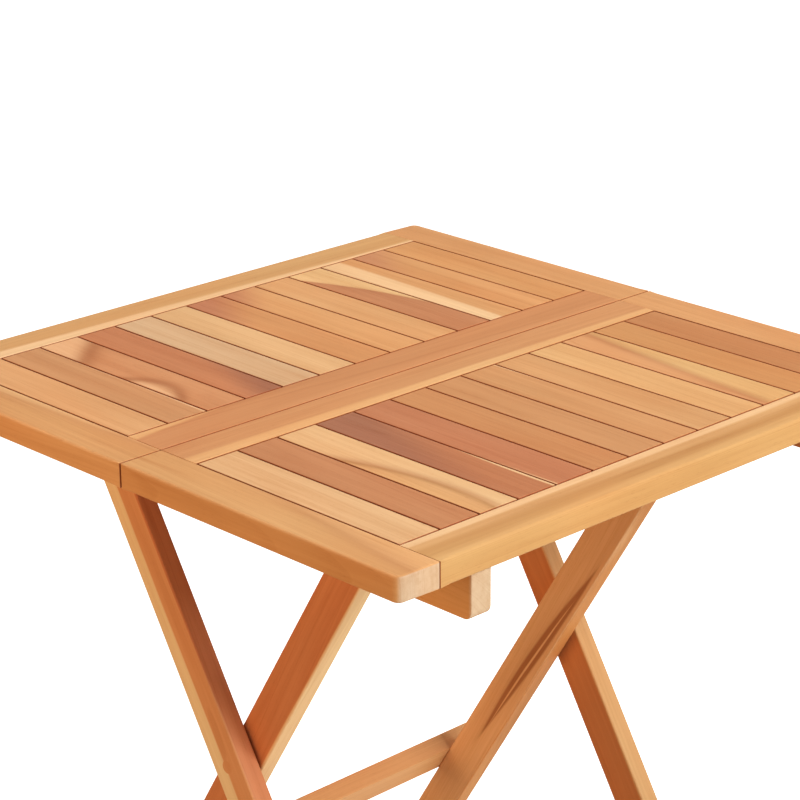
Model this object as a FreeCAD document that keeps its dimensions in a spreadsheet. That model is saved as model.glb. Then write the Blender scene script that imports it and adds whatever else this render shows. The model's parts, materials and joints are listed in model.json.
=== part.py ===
"""Folding square garden table in teak, FreeCAD 1.1 macro, millimetres.

The top is two framed and slatted halves that meet at a seam along Y.  Each half has two battens
underneath, and the halves are hinged together at the battens' lower corners.  Two pairs of legs
cross under the seam: the inner pair hangs on the front half, the outer pair on the rear half.
Lifting the seam folds the halves down on both sides of the legs.

Frame: +Z up, origin on the floor under the middle of the top, seam along Y, front half at +X,
left side at -Y.
"""
import FreeCAD, Part
import math
import os
import Sketcher
from FreeCAD import Placement, Rotation, Vector

doc = FreeCAD.newDocument("folding_table")
sheet = doc.addObject("Spreadsheet::Sheet", "Sizes")
sheet.Label = "sizes"

DIMENSIONS = {
    # the top
    "top_side": 800.0,
    "table_height": 750.0,
    "seam_gap": 1.5,
    "rail_width": 53.0,
    "rail_thick": 27.5,
    "slat_count": 13,
    "slat_thick": 20.0,
    "slat_gap": 1.8,
    "slat_end_gap": 1.8,
    "rail_edge_round": 3.0,
    "board_edge_round": 1.2,
    "corner_round": 9.0,
    # joints of the frame
    "tongue_length": 8.0,
    "tongue_thick": 8.0,
    "tongue_height": 5.0,
    "tongue_shoulder": 4.0,
    "groove_play": 0.3,
    "tenon_length": 30.0,
    "tenon_thick": 9.0,
    "tenon_width": 37.0,
    # battens under each half
    "batten_thick": 26.5,
    "batten_depth": 50.0,
    "batten_inset": 5.0,
    "batten_round": 10.0,
    "batten_outer_face": 301.0,
    # legs
    "leg_width": 48.0,
    "leg_thick": 24.0,
    "leg_edge_round": 2.5,
    "pivot_out": 202.0,
    "pivot_drop": 25.0,
    "cross_height": 364.0,
    "batten_to_leg": 1.0,
    "leg_to_leg": 2.5,
    # stretchers
    "stretcher_depth": 40.0,
    "stretcher_below_cross": 268.0,
    # bolts at the pivots and at the crossings
    "bolt_radius": 4.0,
    "running_play": 0.05,
    "head_radius": 8.0,
    "head_height": 4.0,
    "nut_flats": 13.0,
    "nut_height": 6.0,
    "nut_play": 0.4,
    "bolt_proud": 1.5,
    "spacer_radius": 8.0,
    "spacer_play": 0.7,
    "washer_radius": 10.0,
    "washer_thick": 2.0,
    "plug_radius": 7.5,
    "plug_depth": 6.0,
    "sunk_head_radius": 7.0,
    "sunk_head_height": 5.0,
    "insert_radius": 6.0,
    "insert_length": 14.0,
    "open_pivot_gap": 0.5,
    # wood screws
    "screw_radius": 2.0,
    "screw_head_radius": 4.0,
    "screw_length": 40.0,
    "screw_sink": 26.0,
    "screw_sink_radius": 5.0,
    "screw_head_height": 2.0,
    "screw_tip_length": 5.0,
    "screw_play": 1.0,
    "seam_screw_out": 36.0,
    "rail_screw_out": 366.0,
    "rim_screw_out": 384.0,
    "hinge_screw_near": 11.0,
    "hinge_screw_far": 23.0,
    "stretcher_screw_edge": 10.0,
    # hinges
    "hinge_drop": 3.5,
    "knuckle_radius": 3.0,
    "hinge_pin_radius": 1.5,
    "hinge_leaf_thick": 2.0,
    "hinge_leaf_start": 3.6,
    "hinge_leaf_end": 29.5,
    "hinge_leaf_width": 24.0,
    "hinge_tab_thick": 1.4,
    "hinge_knuckle_gap": 0.3,
    "hinge_middle_knuckle": 9.0,
    "hinge_pin_head": 0.8,
    "hinge_pin_head_radius": 2.3,
}
for row, (alias, number) in enumerate(DIMENSIONS.items(), start=1):
    sheet.set(f"A{row}", alias)
    sheet.set(f"B{row}", str(number))
    sheet.setAlias(f"B{row}", alias)
doc.recompute()

X_AXIS = Vector(1, 0, 0)
Y_AXIS = Vector(0, 1, 0)
Z_AXIS = Vector(0, 0, 1)
LEFT, RIGHT = -1, 1
SIDE_NAME = {LEFT: "left", RIGHT: "right"}
HALF_TURN = {"front": 0.0, "rear": 180.0}


def size(alias):
    """Value of one cell of the sheet."""
    return float(sheet.get(alias))


HEIGHT = size("table_height")
BOARD_BOTTOM = HEIGHT - size("rail_thick")
BATTEN_BOTTOM = BOARD_BOTTOM - size("batten_depth")
HINGE_HEIGHT = BATTEN_BOTTOM - size("hinge_drop")
PIVOT_HEIGHT = BOARD_BOTTOM - size("pivot_drop")
HALF_SIDE = size("top_side") / 2
SEAM_EDGE = size("seam_gap") / 2
FIELD_HALF = HALF_SIDE - size("rail_width")
SLAT_PITCH = (2 * FIELD_HALF - size("slat_gap")) / size("slat_count")
SLAT_MIDDLE = (HALF_SIDE + SEAM_EDGE) / 2
LEAN = math.degrees(math.atan2(size("pivot_out"), PIVOT_HEIGHT - size("cross_height")))
PIVOT_TO_CROSS = math.hypot(size("pivot_out"), PIVOT_HEIGHT - size("cross_height"))
BATTEN_OUTER = size("batten_outer_face")
BATTEN_INNER = BATTEN_OUTER - size("batten_thick")
OUTER_LEG_OUTER = BATTEN_INNER - size("batten_to_leg")
OUTER_LEG_INNER = OUTER_LEG_OUTER - size("leg_thick")
INNER_LEG_OUTER = OUTER_LEG_INNER - size("leg_to_leg")
INNER_LEG_INNER = INNER_LEG_OUTER - size("leg_thick")


def cell(text):
    """Write @word in an expression as the sheet's cell of that name."""
    return text.replace("@", "Sizes.")


def turned_about_z(placement, degrees):
    """The same placement on a half turned about the table's centre line."""
    return Placement(Vector(0, 0, 0), Rotation(Z_AXIS, degrees)).multiply(placement)


# ---------------------------------------------------------------- sketches and bodies

subparts = []


def make_body(label):
    body = doc.addObject("PartDesign::Body", label)
    body.Label = label
    subparts.append(body)
    return body


def make_sketch(body, role, name, offset=None):
    """A sketch on one of the body's own origin planes, moved along its normal by offset."""
    plane = next(item for item in body.Origin.OriginFeatures if item.Role == role)
    sketch = body.newObject("Sketcher::SketchObject", name)
    sketch.AttachmentSupport = [(plane, "")]
    sketch.MapMode = "FlatFace"
    if offset is not None:
        sketch.AttachmentOffset = Placement(Vector(0, 0, offset), Rotation())
    return sketch


def bind(sketch, kind, first, first_point, second, second_point, expression):
    """A distance between two points of a sketch, bound to the sheet."""
    index = sketch.addConstraint(
        Sketcher.Constraint(kind, first, first_point, second, second_point, 1.0))
    sketch.setExpression(f"Constraints[{index}]", cell(expression))


def draw_rectangle(sketch, low, wide):
    """A rectangle: low is the (x, y) of its lower corner and wide its two lengths, as text."""
    corners = [Vector(1, 1, 0), Vector(11, 1, 0), Vector(11, 11, 0), Vector(1, 11, 0)]
    for index in range(4):
        sketch.addGeometry(Part.LineSegment(corners[index], corners[(index + 1) % 4]), False)
    for index in range(4):
        sketch.addConstraint(Sketcher.Constraint("Coincident", index, 2, (index + 1) % 4, 1))
    for index, kind in enumerate(("Horizontal", "Vertical", "Horizontal", "Vertical")):
        sketch.addConstraint(Sketcher.Constraint(kind, index))
    bind_place(sketch, "DistanceX", 0, 1, low[0])
    bind_place(sketch, "DistanceY", 0, 1, low[1])
    bind(sketch, "DistanceX", 0, 1, 0, 2, wide[0])
    bind(sketch, "DistanceY", 1, 1, 1, 2, wide[1])


def bind_place(sketch, kind, item, point, text):
    """The place of a point along one axis of its sketch: 0, or a text that may start with -."""
    if text == "0":
        own_axis = -2 if kind == "DistanceX" else -1
        sketch.addConstraint(Sketcher.Constraint("PointOnObject", item, point, own_axis))
    elif text.startswith("-"):
        bind(sketch, kind, item, point, -1, 1, text[1:])
    else:
        bind(sketch, kind, -1, 1, item, point, text)


def draw_circle(sketch, centre, radius):
    """A circle: its centre's (x, y) and its radius are texts in the sheet's words."""
    start = [0.0 if text == "0" else -50.0 if text.startswith("-") else 50.0 for text in centre]
    index = sketch.addGeometry(Part.Circle(Vector(start[0], start[1], 0), Z_AXIS, 3.0), False)
    bind_place(sketch, "DistanceX", index, 3, centre[0])
    bind_place(sketch, "DistanceY", index, 3, centre[1])
    row_of = sketch.addConstraint(Sketcher.Constraint("Radius", index, 3.0))
    sketch.setExpression(f"Constraints[{row_of}]", cell(radius))


def pad(body, sketch, length, centred=False, reverse=False):
    feature = body.newObject("PartDesign::Pad", "Pad")
    feature.Profile = sketch
    feature.setExpression("Length", cell(length))
    if centred:
        feature.SideType = "Symmetric"
    feature.Reversed = reverse
    return feature


def pocket(body, sketch, length, centred=False, reverse=False):
    """A pocket that has to take material away; the volume is compared to make sure."""
    doc.recompute()
    before = body.Shape.Volume
    feature = body.newObject("PartDesign::Pocket", "Pocket")
    feature.Profile = sketch
    feature.setExpression("Length", cell(length))
    if centred:
        feature.SideType = "Symmetric"
    feature.Reversed = reverse
    doc.recompute()
    if not body.Shape.Volume < before - 1.0:
        raise RuntimeError(f"{body.Label}: a pocket cuts nothing")
    return feature


def round_edges(body, radius, chosen):
    """A fillet on the edges of the body's tip for which chosen(edge) is true."""
    doc.recompute()
    tip = body.Tip
    names = [f"Edge{number}" for number, edge in enumerate(tip.Shape.Edges, start=1)
             if chosen(edge)]
    feature = body.newObject("PartDesign::Fillet", "Fillet")
    feature.Base = (tip, names)
    feature.setExpression("Radius", cell(radius))
    return feature


def runs_along(edge, axis):
    """True for a straight edge along an axis."""
    if edge.Curve.TypeId != "Part::GeomLine":
        return False
    return abs(abs(edge.Curve.Direction.dot(axis)) - 1) < 1e-6


# ---------------------------------------------------------------- boards of the top

SCREW_IN_RAIL = "@screw_sink - @screw_head_height + @screw_length + @screw_play - @batten_depth"


def make_slat(half, number):
    """One slat: a board with a tongue at each end, lying along X."""
    body = make_body(f"{half}_slat_{number:02d}")
    board = make_sketch(body, "YZ_Plane", "Board")
    width = "(@top_side - 2 * @rail_width - @slat_gap) / @slat_count - @slat_gap"
    length = "@top_side / 2 - @seam_gap / 2 - 2 * @rail_width - 2 * @slat_end_gap"
    draw_rectangle(board, ("0", "0"), (width, "@slat_thick"))
    pad(body, board, length, centred=True)
    round_edges(body, "@board_edge_round",
                lambda edge: runs_along(edge, X_AXIS) and edge.CenterOfMass.z > size("slat_thick") / 2)
    tongue = make_sketch(body, "YZ_Plane", "Tongue")
    draw_rectangle(tongue, ("@tongue_shoulder", "@tongue_height"),
                   (f"{width} - 2 * @tongue_shoulder", "@tongue_thick"))
    pad(body, tongue, f"{length} + 2 * @tongue_length", centred=True)
    low_y = -FIELD_HALF + (number - 1) * SLAT_PITCH + size("slat_gap")
    x_place = SLAT_MIDDLE if half == "front" else -SLAT_MIDDLE
    body.Placement = Placement(Vector(x_place, low_y, HEIGHT - size("slat_thick")), Rotation())


def make_long_rail(half, which):
    """A rail along Y with a groove for the slats' tongues and a tenon at each end.

    In its own frame the rail runs along Y, its grooved edge is at its full width and its
    rounded outer edge is at x = 0."""
    body = make_body(f"{half}_{which}_rail")
    board = make_sketch(body, "XZ_Plane", "Board")
    length = "@top_side - 2 * @rail_width"
    draw_rectangle(board, ("0", "0"), ("@rail_width", "@rail_thick"))
    pad(body, board, length, centred=True)
    top, middle = size("rail_thick"), size("rail_width") / 2
    if which == "outer":
        round_edges(body, "@rail_edge_round",
                    lambda edge: runs_along(edge, Y_AXIS) and edge.CenterOfMass.x < middle)
    else:
        round_edges(body, "@board_edge_round",
                    lambda edge: (runs_along(edge, Y_AXIS) and edge.CenterOfMass.x < middle
                                  and edge.CenterOfMass.z > top / 2))
    round_edges(body, "@board_edge_round",
                lambda edge: (runs_along(edge, Y_AXIS) and edge.CenterOfMass.x > middle
                              and edge.CenterOfMass.z > top - 0.1))
    tenon = make_sketch(body, "XZ_Plane", "Tenon")
    draw_rectangle(tenon, ("(@rail_width - @tenon_width) / 2", "(@rail_thick - @tenon_thick) / 2"),
                   ("@tenon_width", "@tenon_thick"))
    pad(body, tenon, f"{length} + 2 * @tenon_length", centred=True)
    groove = make_sketch(body, "XZ_Plane", "Groove")
    draw_rectangle(groove, ("@rail_width - @tongue_length - @groove_play",
                            "@rail_thick - @slat_thick + @tongue_height - @groove_play"),
                   ("@tongue_length + 5 * @groove_play", "@tongue_thick + 2 * @groove_play"))
    pocket(body, groove, length, centred=True)
    pilots = make_sketch(body, "XY_Plane", "Pilots")
    places = ["@seam_screw_out - @seam_gap / 2"]
    if which == "outer":
        places = ["@top_side / 2 - @rail_screw_out", "@top_side / 2 - @rim_screw_out"]
    for place in places:
        for sign in ("", "-"):
            draw_circle(pilots, (place, f"{sign}(@batten_outer_face - @batten_thick / 2)"),
                        "@screw_radius")
    pocket(body, pilots, SCREW_IN_RAIL, reverse=True)
    local = Placement(Vector(SEAM_EDGE, 0, BOARD_BOTTOM), Rotation())
    if which == "outer":
        local = Placement(Vector(HALF_SIDE, 0, BOARD_BOTTOM), Rotation(Z_AXIS, 180))
    body.Placement = turned_about_z(local, HALF_TURN[half])


def make_end_rail(half, side):
    """A short rail along X at the left or right side, with mortises for both long rails.

    In its own frame the rail starts at the seam (x = 0) and its outer edge is at y = 0 for the
    left side; the right one is drawn mirrored, with its outer edge at its full width.  A rear
    rail is a front one turned about the centre line, so its side changes with the turn."""
    turned = half == "rear"
    body = make_body(f"{half}_end_rail_{SIDE_NAME[-side if turned else side]}")
    board = make_sketch(body, "XY_Plane", "Board")
    length = "@top_side / 2 - @seam_gap / 2"
    draw_rectangle(board, ("0", "0"), (length, "@rail_width"))
    pad(body, board, "@rail_thick")
    far_x = HALF_SIDE - SEAM_EDGE
    outer_y = 0.0 if side == LEFT else size("rail_width")

    def is_corner(edge):
        middle = edge.CenterOfMass
        return (runs_along(edge, Z_AXIS) and abs(middle.x - far_x) < 0.1
                and abs(middle.y - outer_y) < 0.1)

    def is_outside(edge):
        """Edges of the top and bottom faces along the outer side, the corner and the end."""
        middle = edge.CenterOfMass
        level = middle.z < 0.1 or middle.z > size("rail_thick") - 0.1
        corner = size("corner_round")
        return level and (abs(middle.y - outer_y) < 0.1 or middle.x > far_x - corner)

    round_edges(body, "@corner_round", is_corner)
    round_edges(body, "@rail_edge_round", is_outside)
    for name, start in (("SeamMortise", "(@rail_width - @tenon_width) / 2"),
                        ("OuterMortise", f"{length} - (@rail_width + @tenon_width) / 2")):
        mortise = make_sketch(body, "XZ_Plane", name)
        draw_rectangle(mortise, (start, "(@rail_thick - @tenon_thick) / 2"),
                       ("@tenon_width", "@tenon_thick"))
        if side == LEFT:
            # the plane lies at y = 0, so the sketch moves to the rail's inner edge
            mortise.AttachmentOffset = Placement(Vector(0, 0, -size("rail_width")), Rotation())
        pocket(body, mortise, "@tenon_length", reverse=side == LEFT)
    low_y = -HALF_SIDE if side == LEFT else HALF_SIDE - size("rail_width")
    local = Placement(Vector(SEAM_EDGE, low_y, BOARD_BOTTOM), Rotation())
    body.Placement = turned_about_z(local, HALF_TURN[half])


# ---------------------------------------------------------------- battens, legs, stretchers

BATTEN_SCREWS = ("seam_screw_out", "rail_screw_out", "rim_screw_out")
HINGE_SCREWS = ("hinge_screw_near", "hinge_screw_far")


def make_batten(half, side):
    """A batten along X on edge under one half, with its pivot hole and its screw holes."""
    body = make_body(f"{half}_batten_{SIDE_NAME[side]}")
    outline = make_sketch(body, "XZ_Plane", "Outline")
    length = "@top_side / 2 - @seam_gap / 2 - @batten_inset"
    draw_rectangle(outline, ("0", "0"), (length, "@batten_depth"))
    pad(body, outline, "@batten_thick", centred=True)
    far_x = HALF_SIDE - SEAM_EDGE - size("batten_inset")
    round_edges(body, "@batten_round",
                lambda edge: (runs_along(edge, Y_AXIS) and edge.CenterOfMass.x > far_x - 0.1
                              and edge.CenterOfMass.z < 0.1))
    round_edges(body, "@board_edge_round",
                lambda edge: (edge.CenterOfMass.z < size("batten_depth") - 0.1
                              and abs(edge.CenterOfMass.y) > size("batten_thick") / 2 - 0.1
                              and edge.CenterOfMass.x > 0.1))
    hole = make_sketch(body, "XZ_Plane", "PivotHole")
    draw_circle(hole, ("@pivot_out - @seam_gap / 2", "@batten_depth - @pivot_drop"), "@bolt_radius")
    pocket(body, hole, "2 * @batten_thick", centred=True)
    for place in BATTEN_SCREWS + HINGE_SCREWS:
        pilot = make_sketch(body, "XY_Plane", "Pilot")
        draw_circle(pilot, (f"@{place} - @seam_gap / 2", "0"), "@screw_radius")
        pocket(body, pilot, "2 * @batten_depth", centred=True)
    for place in BATTEN_SCREWS:
        sink = make_sketch(body, "XY_Plane", "Sink")
        draw_circle(sink, (f"@{place} - @seam_gap / 2", "0"), "@screw_sink_radius")
        pocket(body, sink, "@screw_sink", reverse=True)
    middle_y = side * (BATTEN_OUTER + BATTEN_INNER) / 2
    turn = HALF_TURN[half]
    if turn:
        middle_y = -middle_y
    local = Placement(Vector(SEAM_EDGE, middle_y, BATTEN_BOTTOM), Rotation())
    body.Placement = turned_about_z(local, turn)


STRETCHER_SCREWS = ("@stretcher_screw_edge", "@stretcher_depth - @stretcher_screw_edge")
TAN_LEAN = "@pivot_out / (@table_height - @rail_thick - @pivot_drop - @cross_height)"
PIVOT_LEVEL = "(@table_height - @rail_thick - @pivot_drop)"
FOOT_DOWN = f"{PIVOT_LEVEL} * sqrt(1 + ({TAN_LEAN})^2)"
CROSS_DOWN = f"{PIVOT_LEVEL} * sqrt(1 + ({TAN_LEAN})^2) * (1 - @cross_height / {PIVOT_LEVEL})"


def draw_leg(sketch):
    """The leg's outline with its centre line upright: a half round about the pivot, two sides
    and a foot cut at the lean angle, so that it is level once the leg leans."""
    half = size("leg_width") / 2
    down = PIVOT_HEIGHT / math.cos(math.radians(LEAN))
    rise = half * math.tan(math.radians(LEAN))
    left_top, right_top = Vector(-half, 0, 0), Vector(half, 0, 0)
    left_foot, right_foot = Vector(-half, -down - rise, 0), Vector(half, -down + rise, 0)
    circle = Part.Circle(Vector(0, 0, 0), Z_AXIS, half)
    sketch.addGeometry(Part.ArcOfCircle(circle, 0, math.pi), False)
    sketch.addGeometry(Part.LineSegment(left_top, left_foot), False)
    sketch.addGeometry(Part.LineSegment(left_foot, right_foot), False)
    sketch.addGeometry(Part.LineSegment(right_foot, right_top), False)
    sketch.addConstraint(Sketcher.Constraint("Coincident", 0, 3, -1, 1))
    sketch.addConstraint(Sketcher.Constraint("Tangent", 0, 2, 1, 1))
    sketch.addConstraint(Sketcher.Constraint("Coincident", 1, 2, 2, 1))
    sketch.addConstraint(Sketcher.Constraint("Coincident", 2, 2, 3, 1))
    sketch.addConstraint(Sketcher.Constraint("Tangent", 3, 2, 0, 1))
    sketch.addConstraint(Sketcher.Constraint("Vertical", 1))
    sketch.addConstraint(Sketcher.Constraint("Vertical", 3))
    radius = sketch.addConstraint(Sketcher.Constraint("Radius", 0, half))
    sketch.setExpression(f"Constraints[{radius}]", cell("@leg_width / 2"))
    slope = f"@leg_width / 2 * {TAN_LEAN}"
    bind(sketch, "DistanceY", 2, 1, -1, 1, f"{FOOT_DOWN} + {slope}")
    bind(sketch, "DistanceY", 2, 2, -1, 1, f"{FOOT_DOWN} - {slope}")


def draw_cross_circle(sketch, radius):
    """A circle at the crossing, on the leg's centre line."""
    index = sketch.addGeometry(Part.Circle(Vector(0, -PIVOT_TO_CROSS, 0), Z_AXIS, 3.0), False)
    sketch.addConstraint(Sketcher.Constraint("PointOnObject", index, 3, -2))
    bind(sketch, "DistanceY", index, 3, -1, 1, CROSS_DOWN)
    row_of = sketch.addConstraint(Sketcher.Constraint("Radius", index, 3.0))
    sketch.setExpression(f"Constraints[{row_of}]", cell(radius))


def make_leg(pair, side):
    """One leg.  An inner leg has a blind hole for the crossing's threaded insert in its outer
    face; an outer leg has a through hole with a sunk seat for the bolt's head and its plug."""
    body = make_body(f"{pair}_leg_{SIDE_NAME[side]}")
    # the outer pair is drawn as an inner pair and then turned about the centre line
    outward = side if pair == "inner" else -side
    outline = make_sketch(body, "XZ_Plane", "Outline")
    draw_leg(outline)
    pad(body, outline, "@leg_thick", centred=True)
    foot = -PIVOT_HEIGHT / math.cos(math.radians(LEAN))
    edge_y = size("leg_thick") / 2
    round_edges(body, "@leg_edge_round",
                lambda edge: (abs(abs(edge.CenterOfMass.y) - edge_y) < 0.1
                              and edge.CenterOfMass.z > foot + size("leg_width")))
    round_edges(body, "@board_edge_round",
                lambda edge: edge.BoundBox.ZMax < foot + size("leg_width") / 2)
    pivot = make_sketch(body, "XZ_Plane", "PivotHole")
    draw_circle(pivot, ("0", "0"), "@bolt_radius + @running_play")
    pocket(body, pivot, "2 * @leg_thick", centred=True)
    face = -outward * size("leg_thick") / 2
    if pair == "inner":
        steps = (("@insert_radius", "@insert_length"),)
    else:
        steps = (("@sunk_head_radius", "@plug_depth + @sunk_head_height"),
                 ("@plug_radius", "@plug_depth"), ("@bolt_radius", "@leg_thick"))
    for radius, depth in steps:
        seat = make_sketch(body, "XZ_Plane", "Seat", offset=face)
        draw_cross_circle(seat, radius)
        pocket(body, seat, depth, reverse=outward == RIGHT)
    pilots = make_sketch(body, "YZ_Plane", "Pilots", offset=-size("leg_width") / 2)
    for place in STRETCHER_SCREWS:
        down = f"{CROSS_DOWN} + @stretcher_below_cross + {place}"
        draw_circle(pilots, ("0", f"-({down})"), "@screw_radius")
    pocket(body, pilots, "@screw_length - @leg_thick + @screw_play", reverse=True)
    outer_face = INNER_LEG_OUTER if pair == "inner" else OUTER_LEG_OUTER
    middle_y = outward * (outer_face - size("leg_thick") / 2)
    local = Placement(Vector(size("pivot_out"), middle_y, PIVOT_HEIGHT), Rotation(Y_AXIS, LEAN))
    body.Placement = turned_about_z(local, 0 if pair == "inner" else 180)


def leg_point(across, down):
    """A point in the plane of an inner leg: across its width from the centre line, positive on
    its lower side, and down from the crossing."""
    lean = math.radians(LEAN)
    x = -down * math.sin(lean) + across * math.cos(lean)
    z = size("cross_height") - down * math.cos(lean) - across * math.sin(lean)
    return Vector(x, 0, z)


LEG_MIDDLE = {"inner": "(@batten_outer_face - @batten_thick - @batten_to_leg"
                       " - @leg_to_leg - 1.5 * @leg_thick)",
              "outer": "(@batten_outer_face - @batten_thick - @batten_to_leg - 0.5 * @leg_thick)"}
LEG_MIDDLE_Y = {"inner": (INNER_LEG_OUTER + INNER_LEG_INNER) / 2,
                "outer": (OUTER_LEG_OUTER + OUTER_LEG_INNER) / 2}


def make_stretcher(pair):
    """The board that lies across the upper edges of one pair of legs, low down."""
    body = make_body(f"{pair}_stretcher")
    section = make_sketch(body, "XZ_Plane", "Section")
    draw_rectangle(section, ("0", "0"), ("@leg_thick", "@stretcher_depth"))
    pad(body, section, "2 * (@batten_outer_face - @batten_thick - @batten_to_leg)", centred=True)
    round_edges(body, "@board_edge_round", lambda edge: runs_along(edge, Y_AXIS))
    for radius, depth in (("@screw_radius", "2 * @leg_thick"),
                          ("@screw_head_radius + @running_play", "@screw_head_height")):
        holes = make_sketch(body, "YZ_Plane", "ScrewHoles")
        for level in STRETCHER_SCREWS:
            for sign in ("", "-"):
                draw_circle(holes, (f"{sign}{LEG_MIDDLE[pair]}", level), radius)
        pocket(body, holes, depth, reverse=True)
    across = -size("leg_width") / 2 - size("leg_thick")
    corner = leg_point(across, size("stretcher_below_cross") + size("stretcher_depth"))
    local = Placement(corner, Rotation(Y_AXIS, LEAN))
    body.Placement = turned_about_z(local, 0 if pair == "inner" else 180)


# ---------------------------------------------------------------- metal and small pieces

def primitive(kind, base, direction, **sizes):
    """A Part primitive whose own axis points along direction, its sizes bound to the sheet."""
    item = doc.addObject(f"Part::{kind}", kind)
    for name, expression in sizes.items():
        item.setExpression(name, cell(expression))
    item.Placement = Placement(base, Rotation(Z_AXIS, direction))
    return item


def fused(*items):
    item = doc.addObject("Part::MultiFuse", "Fused")
    item.Shapes = list(items)
    return item


def cut(base, tool):
    item = doc.addObject("Part::Cut", "Cut")
    item.Base = base
    item.Tool = tool
    return item


def group(label, items):
    """Identical pieces kept apart as the solids of one sub-part."""
    item = doc.addObject("Part::Compound", label)
    item.Label = label
    item.Links = list(items)
    subparts.append(item)


def ring(base, direction, outer, inner, length):
    """A tube: a washer, a spacer or an insert."""
    return cut(primitive("Cylinder", base, direction, Radius=outer, Height=length),
               primitive("Cylinder", base, direction, Radius=inner, Height=length))


def domed_bolt(base, direction, length):
    """A bolt with a domed head; base is under the head and direction runs down the shank."""
    head = primitive("Ellipsoid", base, -direction, Radius1="@head_height",
                     Radius2="@head_radius", Angle1="0", Angle2="90")
    return fused(head, primitive("Cylinder", base, direction, Radius="@bolt_radius",
                                 Height=length))


def hexagon_nut(base, direction):
    prism = primitive("Prism", base, direction, Circumradius="@nut_flats / sqrt(3)",
                      Height="@nut_height")
    prism.Polygon = 6
    return cut(prism, primitive("Cylinder", base, direction, Radius="@bolt_radius",
                                Height="@nut_height"))


def make_pivots(half):
    """The bolts and nuts on which one pair of legs turns, and the front pair's spacers."""
    x_place = size("pivot_out") if half == "front" else -size("pivot_out")
    to_leg = "@batten_thick + @batten_to_leg + @leg_thick"
    leg_inner = OUTER_LEG_INNER
    if half == "front":
        to_leg = f"{to_leg} + @leg_to_leg + @leg_thick"
        leg_inner = INNER_LEG_INNER
    bolts, nuts, spacers = [], [], []
    for side in (LEFT, RIGHT):
        inward = Y_AXIS * -side
        head = Vector(x_place, side * BATTEN_OUTER, PIVOT_HEIGHT)
        bolts.append(domed_bolt(head, inward, f"{to_leg} + @nut_play + @nut_height + @bolt_proud"))
        nut = Vector(x_place, side * (leg_inner - size("nut_play")), PIVOT_HEIGHT)
        nuts.append(hexagon_nut(nut, inward))
        spacer = Vector(x_place, side * BATTEN_INNER, PIVOT_HEIGHT)
        spacers.append((spacer, inward))
    group(f"{half}_pivot_bolts", bolts)
    group(f"{half}_pivot_nuts", nuts)
    if half == "front":
        length = "@batten_to_leg + @leg_thick + @leg_to_leg - @spacer_play"
        group("front_pivot_spacers",
              [ring(base, inward, "@spacer_radius", "@bolt_radius + @running_play", length)
               for base, inward in spacers])


def make_crossings():
    """The bolts on which the two pairs of legs cross.  Each ends just short of the inner leg,
    whose insert it would screw into."""
    bolts, plugs, washers, inserts = [], [], [], []
    for side in (LEFT, RIGHT):
        inward = Y_AXIS * -side

        def at(distance):
            return Vector(0, side * distance, size("cross_height"))

        under_plug = OUTER_LEG_OUTER - size("plug_depth")
        head = primitive("Cylinder", at(under_plug), inward, Radius="@sunk_head_radius",
                         Height="@sunk_head_height")
        shank = primitive("Cylinder", at(under_plug), inward, Radius="@bolt_radius",
                          Height="@leg_thick - @plug_depth + @leg_to_leg - @open_pivot_gap")
        bolts.append(fused(head, shank))
        plugs.append(primitive("Cylinder", at(OUTER_LEG_OUTER), inward, Radius="@plug_radius",
                               Height="@plug_depth"))
        washers.append(ring(at(OUTER_LEG_INNER), inward, "@washer_radius", "@bolt_radius",
                            "@washer_thick"))
        inserts.append(ring(at(INNER_LEG_OUTER), inward, "@insert_radius",
                            "@bolt_radius + @running_play", "@insert_length"))
    group("crossing_bolts", bolts)
    group("crossing_plugs", plugs)
    group("crossing_washers", washers)
    group("crossing_inserts", inserts)


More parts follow.
